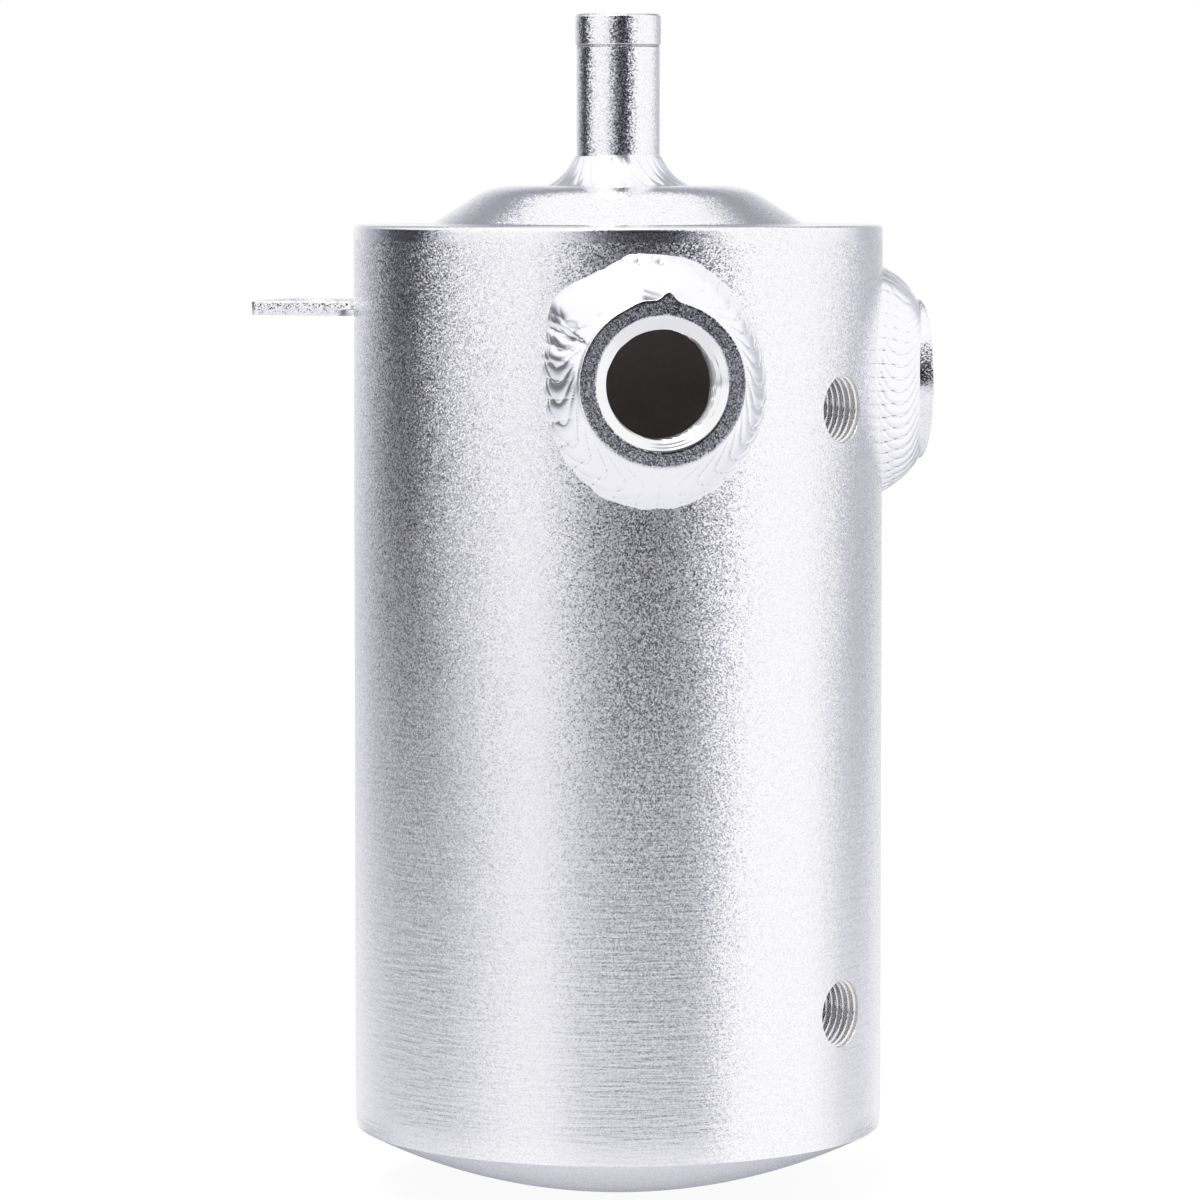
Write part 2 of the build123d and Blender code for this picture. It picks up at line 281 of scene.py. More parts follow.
def wrapped(angle):
    """The same angle between minus and plus half a turn."""
    return np.remainder(angle + math.pi, math.tau) - math.pi


def rim_peaks(turn, peaks):
    """Sum of smooth bumps at given angles: each is (degrees, half width in degrees, height)."""
    total = np.zeros_like(turn)
    for centre, width, height in peaks:
        offset = wrapped(turn - math.radians(centre))
        total += height * np.exp(-(offset / math.radians(width)) ** 2)
    return total


def wave(turn, seed):
    """Smooth hand-made unevenness round a ring, between about -1 and 1."""
    total = 0.0
    for harmonic in WAVE_HARMONICS:
        total = total + np.sin(harmonic * turn + seed * harmonic * harmonic) / harmonic
    return total


def thread(along, turn, pitch):
    """Thread depth from 0 at the crest to 1 at the root, for a right-hand helix."""
    place = (along / pitch + turn / math.tau) % 1.0
    return np.clip(THREAD_STEEPNESS * (1 - np.abs(2 * place - 1)) - THREAD_FLAT, 0, 1)


def make_piece(name, node, points, faces, materials, choice=None):
    """Mesh object in the frame that stands for a CAD node."""
    mesh = bpy.data.meshes.new(name)
    placed = (np.asarray(points, float).reshape(-1, 3) + CAN_ORIGIN) * MM
    mesh.from_pydata(placed.tolist(), [], [list(map(int, face)) for face in faces])
    for material in materials:
        mesh.materials.append(material)
    if choice is not None:
        mesh.polygons.foreach_set("material_index", np.asarray(choice, np.int32))
    shaper = bmesh.new()
    shaper.from_mesh(mesh)
    bmesh.ops.recalc_face_normals(shaper, faces=shaper.faces)
    shaper.to_mesh(mesh)
    shaper.free()
    mesh.polygons.foreach_set("use_smooth", [True] * len(mesh.polygons))
    mesh.set_sharp_from_angle(angle=SHARP)
    piece = bpy.data.objects.new(name, mesh)
    bpy.context.collection.objects.link(piece)
    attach(piece, "root")
    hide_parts(node)
    return piece


def make_ring(name, node, loops, materials, choice=None):
    """Piece from closed sections that run round a ring; choice picks a material along the section."""
    stations, count = loops.shape[:2]
    picks = None if choice is None else np.tile(choice, stations)
    return make_piece(name, node, loops, ring_faces(stations, count), materials, picks)


# Materials

COOL_TINT = 0.22  # how blue a middle grey of the room is
MOTTLE_SCALE = 90.0
MOTTLE_RANGE = (0.3, 0.7)  # span of the noise that is used
MOTTLE_DARK = 0.95  # darkest mottling, as a share of the colour
MOTTLE_ROUGH = (0.85, 1.15)  # spread of roughness, as shares
GRAIN_MM = 1.0
BRUSH_SCALE = (140.0, 140.0, 1500.0)
BRUSH_FULL = -128.0  # height where the brushing is full, from the mounting hole
BRUSH_NONE = -40.0
BRUSH_DEPTH_MM = 0.03
FACET_MM = 0.2
FACET_SPREAD = (2.2, 2.2, 0.7)  # facets tip less up and down than sideways
SPECK_DARK = 0.84  # darkest facets, as a share of the colour
SPECK_SHARE = 0.4  # share of facets that are darker
CREASE_SHADE_AND_OXIDE = 0.2  # painted shade, with some oxide, in the creases of a weld, as a share of its colour
CREASE_AT = 0.45  # pointiness in a crease
CROWN_AT = 0.493  # and where the bead is bright again


def feed(tree, socket, value):
    """Links an input to another node's output, or sets it to a plain value."""
    if isinstance(value, bpy.types.NodeSocket):
        tree.links.new(value, socket)
    else:
        socket.default_value = value


def add_node(tree, kind, **inputs):
    """Node with values or links given by input name."""
    node = tree.nodes.new(kind)
    for key, value in inputs.items():
        feed(tree, node.inputs[key], value)
    return node


def operation_node(tree, kind, operation, values):
    """Result of a math node's operation on values or links."""
    node = tree.nodes.new(kind)
    node.operation = operation
    for socket, value in zip(node.inputs, values):
        feed(tree, socket, value)
    return node.outputs[0]


def math_node(tree, operation, *values):
    """Result of an operation on numbers."""
    return operation_node(tree, "ShaderNodeMath", operation, values)


def vector_node(tree, operation, *values):
    """Result of an operation on vectors."""
    return operation_node(tree, "ShaderNodeVectorMath", operation, values)


def mix_node(tree, factor, first, second):
    """Blend of two colours."""
    node = tree.nodes.new("ShaderNodeMix")
    node.data_type = "RGBA"
    colours = [socket for socket in node.inputs if socket.type == "RGBA"]
    tree.links.new(factor, node.inputs["Factor"])
    for socket, value in zip(colours, (first, second)):
        feed(tree, socket, value if isinstance(value, bpy.types.NodeSocket) else (*value, 1))
    return [socket for socket in node.outputs if socket.type == "RGBA"][0]


def ramp(tree, factor, stops):
    """Colour ramp from (position, colour) stops."""
    node = tree.nodes.new("ShaderNodeValToRGB")
    tree.links.new(factor, node.inputs[0])
    elements = node.color_ramp.elements
    while len(elements) < len(stops):
        elements.new(1.0)
    for element, (position, colour) in zip(elements, stops):
        element.position = position
        element.color = (*colour, 1)
    return node.outputs[0]


def grey(value):
    """Neutral grey of a given level."""
    return (value, value, value)


def cool(value):
    """Slightly blue grey, neutral toward white."""
    return (value, value, value + COOL_TINT * value * (1 - value))


def span(tree, value, low, high, out_low, out_high):
    """Maps a range on to another, clamped."""
    node = tree.nodes.new("ShaderNodeMapRange")
    tree.links.new(value, node.inputs["Value"])
    settings = {"From Min": low, "From Max": high, "To Min": out_low, "To Max": out_high}
    for key, setting in settings.items():
        node.inputs[key].default_value = setting
    return node.outputs[0]


def soft_grain(tree, place, size_mm, depth_mm):
    """Normal with a fine cast grain."""
    grain = add_node(tree, "ShaderNodeTexNoise", Vector=place, Scale=1 / (size_mm * MM), Detail=3.0)
    bump = add_node(tree, "ShaderNodeBump", Height=grain.outputs["Fac"], Strength=1.0)
    bump.inputs["Distance"].default_value = depth_mm * MM
    return bump.outputs[0]


def metal(name, colour, roughness, metallic=1.0, grain_depth_mm=0.01):
    """Bare metal with faint mottling and a soft grain."""
    material = bpy.data.materials.new(name)
    material.use_nodes = True
    tree = material.node_tree
    shader = tree.nodes["Principled BSDF"]
    shader.inputs["Metallic"].default_value = metallic
    place = tree.nodes.new("ShaderNodeTexCoord").outputs["Object"]
    mottling = add_node(tree, "ShaderNodeTexNoise", Vector=place, Scale=MOTTLE_SCALE, Detail=4.0)
    dark = [channel * MOTTLE_DARK for channel in colour]
    tint = ramp(tree, mottling.outputs["Fac"], list(zip(MOTTLE_RANGE, (dark, colour))))
    tree.links.new(tint, shader.inputs["Base Color"])
    smooth, rough = (roughness * share for share in MOTTLE_ROUGH)
    spread = span(tree, mottling.outputs["Fac"], *MOTTLE_RANGE, smooth, rough)
    tree.links.new(spread, shader.inputs["Roughness"])
    tree.links.new(soft_grain(tree, place, GRAIN_MM, grain_depth_mm), shader.inputs["Normal"])
    return material


def blasted_metal(name, facet_tilt):
    """Bead-blasted metal: small facets tilted at random, darker specks, and brushing low on the can."""
    colour = (0.98, 0.975, 1.0)
    material = metal(name, colour, roughness=0.15)
    tree = material.node_tree
    shader = tree.nodes["Principled BSDF"]
    place = tree.nodes.new("ShaderNodeTexCoord").outputs["Object"]

    stretched = vector_node(tree, "MULTIPLY", place, BRUSH_SCALE)
    scratches = add_node(tree, "ShaderNodeTexNoise", Vector=stretched, Scale=1.0, Detail=2.0)
    height = add_node(tree, "ShaderNodeSeparateXYZ", Vector=place).outputs["Z"]
    low_down = span(tree, height, BRUSH_FULL * MM, BRUSH_NONE * MM, 1.0, 0.0)
    masked = math_node(tree, "MULTIPLY", scratches.outputs["Fac"], low_down)
    pressed = soft_grain(tree, place, size_mm=1.2, depth_mm=0.005)
    brushed = add_node(tree, "ShaderNodeBump", Height=masked, Strength=1.0, Normal=pressed)
    brushed.inputs["Distance"].default_value = BRUSH_DEPTH_MM * MM

    cells = add_node(tree, "ShaderNodeTexVoronoi", Vector=place, Scale=1 / (FACET_MM * MM))
    centred = vector_node(tree, "SUBTRACT", cells.outputs["Color"], (0.5, 0.5, 0.5))
    spread = vector_node(tree, "MULTIPLY", centred, FACET_SPREAD)
    tilt = vector_node(tree, "SCALE", spread)
    steepness = math_node(tree, "MULTIPLY_ADD", low_down, -facet_tilt, 2 * facet_tilt)
    tree.links.new(steepness, tilt.node.inputs["Scale"])
    normal = vector_node(tree, "NORMALIZE", vector_node(tree, "ADD", brushed.outputs[0], tilt))
    tree.links.new(normal, shader.inputs["Normal"])

    speck = add_node(tree, "ShaderNodeSeparateXYZ", Vector=cells.outputs["Color"]).outputs["X"]
    dark_speck = [channel * SPECK_DARK for channel in colour]
    tint = ramp(tree, speck, [(0.0, dark_speck), (SPECK_SHARE, colour)])
    tree.links.new(tint, shader.inputs["Base Color"])
    return material


def weld_metal():
    """Bright weld metal, with painted shade and some oxide along the creases between its puddles."""
    colour = (0.96, 0.96, 0.985)
    crease_shade_and_oxide = [channel * CREASE_SHADE_AND_OXIDE for channel in colour]
    material = metal("weld_bead", colour, roughness=0.17, metallic=0.88, grain_depth_mm=0.012)
    tree = material.node_tree
    form = tree.nodes.new("ShaderNodeNewGeometry")
    # Pointiness darkens the base colour in the creases: painted shade, with some oxide
    shade = ramp(tree, form.outputs["Pointiness"], [(CREASE_AT, crease_shade_and_oxide), (CROWN_AT, colour)])
    tree.links.new(shade, tree.nodes["Principled BSDF"].inputs["Base Color"])
    return material


CUT_COLOUR = (0.95, 0.95, 0.96)
INNER_COLOUR = (0.95, 0.91, 0.89)
blasted = blasted_metal("blasted_aluminium", facet_tilt=0.06)
pressed_lid = blasted_metal("pressed_lid_aluminium", facet_tilt=0.025)
machined = metal("machined_aluminium", CUT_COLOUR, roughness=0.12, grain_depth_mm=0.006)
tapped = metal("tapped_aluminium", CUT_COLOUR, roughness=0.18, metallic=0.85)
sawn_tab = blasted_metal("sawn_tab_aluminium", facet_tilt=0.13)
weld = weld_metal()
raw_wall = metal("raw_inner_wall", INNER_COLOUR, roughness=0.42, metallic=0.3, grain_depth_mm=0.02)


# Can body

def grid_counts(breaks, step):
    """Divisions between neighbouring breaks, each about one step wide."""
    return [max(1, round(abs(high - low) / step)) for low, high in zip(breaks, breaks[1:])]


def grid_lines(breaks, counts):
    """Breaks and the evenly spaced divisions between them."""
    lines = [breaks[0]]
    for low, high, count in zip(breaks, breaks[1:], counts):
        lines += [low + (high - low) * (k + 1) / count for k in range(count)]
    return np.array(lines)


def can_tube():
    """Tube with true port holes: a plain grid, with a fan of rings in each cell that holds a hole."""
    column_breaks = np.radians((*FRONT_CELL, *SIGHT_CELL, *SIDE_CELL, FRONT_CELL[0] + 360))
    row_breaks = (TUBE_BOTTOM, TUBE_BOTTOM + SEAM_BAND, *LOWER_CELL, *UPPER_CELL, TUBE_TOP)
    columns = grid_counts(column_breaks, math.tau / SEGMENTS)
    rows = [8, 1, 16, 1, 24, 1]  # divisions of each row of cells
    holes = {
        (0, 4): (FRONT_PORT, PORT_HOLE_R),
        (2, 4): (UPPER_SIGHT, SIGHT_MOUTH_R),
        (4, 4): (SIDE_PORT, PORT_HOLE_R),
        (2, 2): (LOWER_SIGHT, SIGHT_MOUTH_R),
    }
    fan_rings = 8
    fan_crowding = 0.8  # under 1 puts the rings closer together near the hole
    turns = grid_lines(column_breaks, columns)[:-1]
    heights = grid_lines(row_breaks, rows)
    around, levels = len(turns), len(heights)
    points = []
    faces = []
    choice = []

    def skin(radius, pick):
        """One wall of the tube; returns the first grid point and the rim points of every hole."""
        first = len(points)
        for height in heights:
            above = min(1.0, (height - TUBE_BOTTOM) / SEAM_BAND)
            reach = radius - SEAM_EASE * (1 - above) ** 2
            for turn in turns:
                points.append((reach * math.cos(turn), reach * math.sin(turn), height))

        def at(column, level):
            return first + level * around + column % around

        rims = []
        left = 0
        for column, wide in enumerate(columns):
            bottom = 0
            for row, tall in enumerate(rows):
                if (column, row) in holes:
                    border = [at(left + k, bottom) for k in range(wide)]
                    border += [at(left + wide, bottom + k) for k in range(tall)]
                    border += [at(left + wide - k, bottom + tall) for k in range(wide)]
                    border += [at(left, bottom + tall - k) for k in range(tall)]
                    rims.append(fan(radius, pick, border, *holes[column, row]))
                else:
                    for i in range(left, left + wide):
                        for j in range(bottom, bottom + tall):
                            faces.append((at(i, j), at(i + 1, j), at(i + 1, j + 1), at(i, j + 1)))
                            choice.append(pick)
                bottom += tall
            left += wide
        return first, rims

    def fan(radius, pick, border, port, hole_r):
        """Rings from a cell's border in to its hole; returns the hole's rim."""
        angle, height = port
        edge = np.array([points[k] for k in border])
        flat = wrapped(np.arctan2(edge[:, 1], edge[:, 0]) - angle)
        rise = edge[:, 2] - height
        aim = np.arctan2(rise, radius * flat)
        rim_turn = np.arcsin(hole_r * np.cos(aim) / radius)
        rim_rise = hole_r * np.sin(aim)
        outer = list(border)
        for ring in range(1, fan_rings + 1):
            share = (ring / fan_rings) ** fan_crowding
            inner = []
            for k in range(len(border)):
                turn = angle + flat[k] + (rim_turn[k] - flat[k]) * share
                level = height + rise[k] + (rim_rise[k] - rise[k]) * share
                inner.append(len(points))
                points.append((radius * math.cos(turn), radius * math.sin(turn), level))
            for k in range(len(border)):
                after = (k + 1) % len(border)
                faces.append((outer[k], outer[after], inner[after], inner[k]))
                choice.append(pick)
            outer = inner
        return outer

    outside, outer_rims = skin(TUBE_R, 0)
    inside, inner_rims = skin(TUBE_INNER_R, 1)
    for outer, inner in zip(outer_rims, inner_rims):
        for k in range(len(outer)):
            after = (k + 1) % len(outer)
            faces.append((outer[k], outer[after], inner[after], inner[k]))
            choice.append(1)
    for level in (0, levels - 1):
        outer = outside + level * around
        inner = inside + level * around
        for k in range(around):
            after = (k + 1) % around
            faces.append((outer + k, outer + after, inner + after, inner + k))
            choice.append(0)
    materials = [blasted, raw_wall]
    return make_piece("tube_look", "can_tube", points, faces, materials, choice)


def top_cap():
    """Pressed lid with a raised round dome and a hole for the nipple's foot."""
    crown_r = DOME_FOOT_R - CROWN / math.tan(DOME_SLOPE)
    inward = LID_WALL * math.tan(DOME_SLOPE / 2)
    section = rounded(
        (NIPPLE_FOOT_R, CROWN, 0),
        (crown_r, CROWN, DOME_SHOULDER_R),
        (DOME_FOOT_R, 0, DOME_FOOT_FILLET),
        (TUBE_R, 0, LID_EDGE_ROUND),
        (TUBE_R, -LID_WALL, 0),
        (DOME_FOOT_R - inward, -LID_WALL, DOME_FOOT_FILLET + LID_WALL),
        (crown_r - inward, CROWN - LID_WALL, DOME_SHOULDER_R - LID_WALL),
        (NIPPLE_FOOT_R, CROWN - LID_WALL, 0),
    )
    return make_ring("lid_look", "top_cap", turned(section), [pressed_lid])


def base_cap():
    """Dish closed by a fan of triangles at the middle of each face."""
    depth = TUBE_BOTTOM - BASE_BOTTOM
    rim_r = TUBE_R - SEAM_EASE
    outer_r = (rim_r ** 2 + depth ** 2) / (2 * depth)
    inner_r = outer_r - BASE_WALL
    centre = BASE_BOTTOM + outer_r
    inner_rim_r = math.sqrt(inner_r ** 2 - (centre - TUBE_BOTTOM) ** 2)
    rings = 40
    outer_reach = math.asin(rim_r / outer_r)
    inner_reach = math.asin(inner_rim_r / inner_r)
    outer = [outer_reach * (k + 1) / rings for k in range(rings)]
    inner = [inner_reach * (rings - k) / rings for k in range(rings)]
    section = [(outer_r * math.sin(a), centre - outer_r * math.cos(a)) for a in outer]
    section += [(inner_r * math.sin(a), centre - inner_r * math.cos(a)) for a in inner]
    loops = turned(np.array(section))
    count = len(section)
    faces = [face for face in ring_faces(SEGMENTS, count).tolist() if face[2] % count != 0]
    points = loops.reshape(-1, 3).tolist()
    bottom = len(points)
    points.append((0, 0, BASE_BOTTOM))
    points.append((0, 0, BASE_BOTTOM + BASE_WALL))
    for k in range(SEGMENTS):
        after = (k + 1) % SEGMENTS
        faces.append((bottom, k * count, after * count))
        faces.append((bottom + 1, after * count + count - 1, k * count + count - 1))
    return make_piece("base_look", "base_cap", points, faces, [blasted])


def vent_nipple():
    """Hose nipple with a step under its bead, a turned groove and a lip."""
    lip_base = NIPPLE_TOP - NIPPLE_LIP_HEIGHT
    foot_top = CROWN + NIPPLE_WELD_HEIGHT - NIPPLE_FOOT_COVER
    groove_r = NIPPLE_R - NIPPLE_GROOVE
    break_base = NIPPLE_TOP - NIPPLE_LIP_BREAK
    section = rounded(
        (NIPPLE_BORE_R, CROWN - LID_WALL, 0),
        (NIPPLE_FOOT_R, CROWN - LID_WALL, 0),
        (NIPPLE_FOOT_R, foot_top, 0.1),
        (NIPPLE_R, foot_top, 0.1),
        (NIPPLE_R, lip_base - NIPPLE_GROOVE_HEIGHT, 0.08),
        (groove_r, lip_base - NIPPLE_GROOVE_FLOOR, 0.05),
        (groove_r, lip_base, 0.03),
        (NIPPLE_LIP_R, lip_base + NIPPLE_LIP_SLOPE, 0.08),
        (NIPPLE_LIP_R, break_base, 0.3),
        (NIPPLE_LIP_R - NIPPLE_LIP_BREAK, NIPPLE_TOP, 0.15),
        (NIPPLE_BORE_R + NIPPLE_LIP_BREAK, NIPPLE_TOP, 0.15),
        (NIPPLE_BORE_R, break_base, 0.15),
    )
    return make_ring("nipple_look", "vent_nipple", turned(section), [blasted])


# Threaded bungs and bosses, built on the X axis

def bung(name, node, port, peaks=()):
    """Bung coped to the tube, with a blasted face and a real helical thread."""
    stations = 240
    turn = np.linspace(0, math.tau, stations, endpoint=False)
    rim = BUNG_R + rim_peaks(turn, peaks)
    bore_points = 90
    wall_points = 6
    edge_points = 5
    face_points = 6
    parts = []

    def add(x, radius):
        parts.append(np.stack([x, radius * np.cos(turn), radius * np.sin(turn)], axis=-1))

    foot = np.sqrt(TUBE_R ** 2 - (BUNG_R * np.cos(turn)) ** 2) - BEAD_SINK
    shoulder = np.full_like(turn, BUNG_FACE - BUNG_EDGE_BREAK)
    for k in range(wall_points):
        share = k / wall_points
        add(foot + (shoulder - foot) * share, BUNG_R + (rim - BUNG_R) * max(0.0, 2 * share - 1))
    for k in range(edge_points):
        lift = math.pi / 2 * k / (edge_points - 1)
        edge = BUNG_EDGE_BREAK * (1 - math.cos(lift))
        add(shoulder + BUNG_EDGE_BREAK * math.sin(lift), rim - edge)
    face_edge = rim - BUNG_EDGE_BREAK
    for k in range(1, face_points):
        share = k / face_points
        add(np.full_like(turn, BUNG_FACE), face_edge + (PORT_MOUTH_R - face_edge) * share)
    wall_end = len(parts)
    bore_end = np.sqrt(TUBE_R ** 2 - (PORT_MINOR_R * np.cos(turn)) ** 2)
    for k in range(bore_points):
        x = BUNG_FACE + (bore_end - BUNG_FACE) * k / (bore_points - 1)
        depth = BUNG_FACE - x
        cone = PORT_MOUTH_R - (PORT_MOUTH_R - PORT_MINOR_R) * depth / PORT_MOUTH_DEPTH
        cone = cone + PORT_TOOL_MARK * np.cos(math.tau * depth / PORT_TOOL_FEED)
        cut = PORT_MINOR_R + (PORT_MAJOR_R - PORT_MINOR_R) * thread(depth, turn, PORT_PITCH)
        add(x, np.maximum(cone, cut))
    loops = on_side(np.stack(parts, axis=1), port)
    choice = [0] * wall_end + [1] * bore_points
    return make_ring(name, node, loops, [blasted, machined], choice)


def sight_boss(name, node, port):
    """Tapped boss, flush with the tube outside, with a shoulder inside and a fine thread."""
    stations = 192
    turn = np.linspace(0, math.tau, stations, endpoint=False)
    inner_end = TUBE_INNER_R - SIGHT_SHOULDER_LENGTH
    parts = []

    def skin(radius, wall_r):
        return np.sqrt(wall_r ** 2 - (radius * np.cos(turn)) ** 2)

    def add(x, radius):
        radius = np.broadcast_to(radius, turn.shape)
        x = np.broadcast_to(x, turn.shape)
        parts.append(np.stack([x, radius * np.cos(turn), radius * np.sin(turn)], axis=-1))

    add(inner_end, SIGHT_SHOULDER_R)
    add(skin(SIGHT_SHOULDER_R, TUBE_INNER_R), SIGHT_SHOULDER_R)
    add(skin(SIGHT_SPIGOT_R, TUBE_INNER_R), SIGHT_SPIGOT_R)
    for share in (0, 0.5):
        radius = SIGHT_SPIGOT_R + (SIGHT_MOUTH_R - SIGHT_SPIGOT_R) * share
        add(skin(radius, TUBE_R - SIGHT_SINK), radius)
    wall_end = len(parts)
    bore_points = 130
    mouth = skin(SIGHT_MOUTH_R, TUBE_R)
    for k in range(bore_points):
        x = mouth + (inner_end - mouth) * k / (bore_points - 1)
        depth = mouth - x
        cone = SIGHT_MOUTH_R - (SIGHT_MOUTH_R - SIGHT_MINOR_R) * depth / SIGHT_MOUTH_DEPTH
        cut = SIGHT_MINOR_R + (SIGHT_MAJOR_R - SIGHT_MINOR_R) * thread(TUBE_R - x, turn, SIGHT_PITCH)
        add(x, np.maximum(cone, cut))
    loops = on_side(np.stack(parts, axis=1), port)
    choice = [0] * wall_end + [1] * bore_points
    return make_ring(name, node, loops, [blasted, tapped], choice)


# Weld beads

def bead_loops(toe, crest, root, bulge, relief):
    """Closed sections of a bead: its face from toe to crest, then hidden points inside the metal."""
    count = relief.shape[1]
    share = np.linspace(0, 1, count)[None, :, None]
    chord = crest - toe
    middle = (crest + toe) / 2 - root
    along = chord / np.linalg.norm(chord, axis=-1, keepdims=True)
    out = middle - along * np.sum(middle * along, axis=-1, keepdims=True)
    out /= np.linalg.norm(out, axis=-1, keepdims=True)
    lift = bulge[:, None] * 4 * share[..., 0] * (1 - share[..., 0]) + relief
    face = toe[:, None] + chord[:, None] * share + out[:, None] * lift[..., None]
    inside = root - (middle / np.linalg.norm(middle, axis=-1, keepdims=True)) * BEAD_ROOT_SINK
    toe_in = toe + (inside - toe) * BEAD_TUCK - out * BEAD_SINK
    crest_in = crest + (inside - crest) * BEAD_TUCK - out * BEAD_SINK
    return np.concatenate([face, crest_in[:, None], inside[:, None], toe_in[:, None]], axis=1)


def ripple(phase):
    """Height of overlapping puddles, 0 in the creases between them and 1 on their crowns."""
    return np.abs(np.sin(math.pi * phase)) ** RIPPLE_ROUNDNESS


def faded(relief, share, band):
    """Relief that dies out toward both edges of a bead's face."""
    return relief * np.clip(np.minimum(share, 1 - share) / band, 0, 1)


def lumps(turn, share, spots):
    """Soft bumps and dents on a bead: each is (degrees, share across the face, radius, height)."""
    total = np.zeros((len(turn), share.shape[1]))
    for centre, across, radius, height in spots:
        around = wrapped(turn - math.radians(centre))[:, None] * (BUNG_R + BEAD_FACE / 2)
        away = (share - across) * BEAD_FACE
        total += height * np.exp(-(around ** 2 + away ** 2) / radius ** 2)
    return total


def bung_bead(name, node, port, end_leg, pitch, tightness, lobes, smooth, spots, seed):
    """Bead round a bung, laid from the bottom up along both flanks, so that its ripples nest like a U."""
    stations = 720
    count = 40
    bulge_seed = seed + 0.7
    path_seed = seed + 1.9
    crest_seed = seed + 2.6
    turn = np.linspace(0, math.tau, stations, endpoint=False)
    share = np.linspace(0, 1, count)[None, :]
    leg = BEAD_SIDE_LEG + (end_leg - BEAD_SIDE_LEG) * np.sin(turn) ** 2
    leg += BEAD_LEG_WAVE * wave(turn, seed)
    leg += rim_peaks(turn, [(at, wide, toe_out) for at, wide, toe_out, swell in lobes])
    bulge = BEAD_BULGE + BEAD_BULGE_WAVE * wave(turn, bulge_seed)
    bulge += rim_peaks(turn, [(at, wide, swell) for at, wide, toe_out, swell in lobes])
    climb = np.abs(wrapped(turn + math.pi / 2))
    pace = 1 + tightness * (1 - climb / math.pi)
    path = climb * pace * (BUNG_R + leg / 2) / pitch + BEAD_PATH_WAVE * wave(turn, path_seed)
    phase = path[:, None] - BEAD_NEST * (2 * share - 1) ** 2
    strength = np.clip(1 - rim_peaks(turn, smooth), 0, 1)
    relief = BEAD_RELIEF * strength[:, None] * (ripple(phase) - RIPPLE_LEVEL)
    relief = faded(relief + lumps(turn, share, spots), share, BEAD_EDGE_FADE)
    leg = leg + BEAD_SCALLOP * strength * ripple(phase[:, 0])
    reach = BUNG_R + leg
    toe_y = reach * np.cos(turn)
    root_y = BUNG_R * np.cos(turn)
    root_z = BUNG_R * np.sin(turn)
    toe_x = np.sqrt(TUBE_R ** 2 - toe_y ** 2) - BEAD_TOE_SINK
    toe = np.stack([toe_x, toe_y, reach * np.sin(turn)], axis=-1)
    root = np.stack([np.sqrt(TUBE_R ** 2 - root_y ** 2), root_y, root_z], axis=-1)
    setback = BEAD_SIDE_SETBACK + (BEAD_END_SETBACK - BEAD_SIDE_SETBACK) * np.sin(turn) ** 2
    crest_x = BUNG_FACE - setback + BEAD_CREST_WAVE * wave(turn, crest_seed)
    crest = np.stack([crest_x, root_y, root_z], axis=-1)
    loops = bead_loops(toe, crest, root, bulge, relief)
    loops[..., 0] = np.minimum(loops[..., 0], BUNG_FACE - BEAD_FACE_CLEARANCE)
    return make_ring(name, node, on_side(loops, port), [weld])


def nipple_bead():
    """Hollow bead round the nipple's foot, with slanting ripples."""
    stations = 480
    count = 32
    leg_seed, top_seed, path_seed = 0.4, 1.3, 2.2
    turn = np.linspace(0, math.tau, stations, endpoint=False)
    share = np.linspace(0, 1, count)[None, :]
    leg = NIPPLE_WELD_LEG + NIPPLE_WELD_WAVE * wave(turn, leg_seed)
    height = NIPPLE_WELD_HEIGHT - NIPPLE_WELD_TUCK + NIPPLE_WELD_WAVE * wave(turn, top_seed)
    phase = turn[:, None] / math.tau * NIPPLE_WELD_RIPPLES + NIPPLE_WELD_SLANT * share
    phase = phase + NIPPLE_WELD_WAVE * wave(turn, path_seed)[:, None]
    relief = faded(NIPPLE_WELD_RELIEF * (ripple(phase) - RIPPLE_LEVEL), share, BEAD_EDGE_FADE)
    reach = NIPPLE_FOOT_R + leg + NIPPLE_WELD_SCALLOP * ripple(phase[:, 0])

    def around(radius, level):
        level = np.broadcast_to(level, turn.shape)
        return np.stack([radius * np.cos(turn), radius * np.sin(turn), level], axis=-1)

    toe = around(reach, CROWN - BEAD_TOE_SINK)
    root = around(NIPPLE_FOOT_R, CROWN)
    crest = around(NIPPLE_FOOT_R, CROWN + height)
    bulge = np.full_like(turn, -NIPPLE_WELD_HOLLOW)
    loops = bead_loops(toe, crest, root, bulge, relief)
    return make_ring("nipple_bead_look", "nipple_weld", loops, [weld])


# Mounting tab, built on the X axis and standing on z = 0

TAB_PLACE = (TAB_ANGLE, TAB_UNDERSIDE)


def tab_outline():
    """Points round the tab: root on the tube, two sides and a rounded end."""
    half = TAB_WIDTH / 2
    end = TUBE_R + TAB_END_REACH
    root_points, side_points, corner_points, end_points = 25, 10, 13, 8
    root_gap = 1.5
    corner_gap = 0.5
    root_y = np.linspace(half, -half, root_points)
    root = [(math.sqrt(TUBE_R ** 2 - y ** 2) - BEAD_SINK, y) for y in root_y]
    corner = np.radians(np.linspace(-90, 0, corner_points))
    side_x = np.linspace(root[-1][0] + root_gap, end - TAB_CORNER - corner_gap, side_points)
    side = [(x, -half) for x in side_x]
    low = [(end - TAB_CORNER + TAB_CORNER * math.cos(a), -half + TAB_CORNER + TAB_CORNER * math.sin(a))
           for a in corner]
    across = [(end, y) for y in np.linspace(-half + TAB_CORNER + corner_gap, 0, end_points)]
    lower_half = side + low + across
    upper_half = [(x, -y) for x, y in reversed(lower_half[:-1])]
    return np.array(root + lower_half + upper_half)


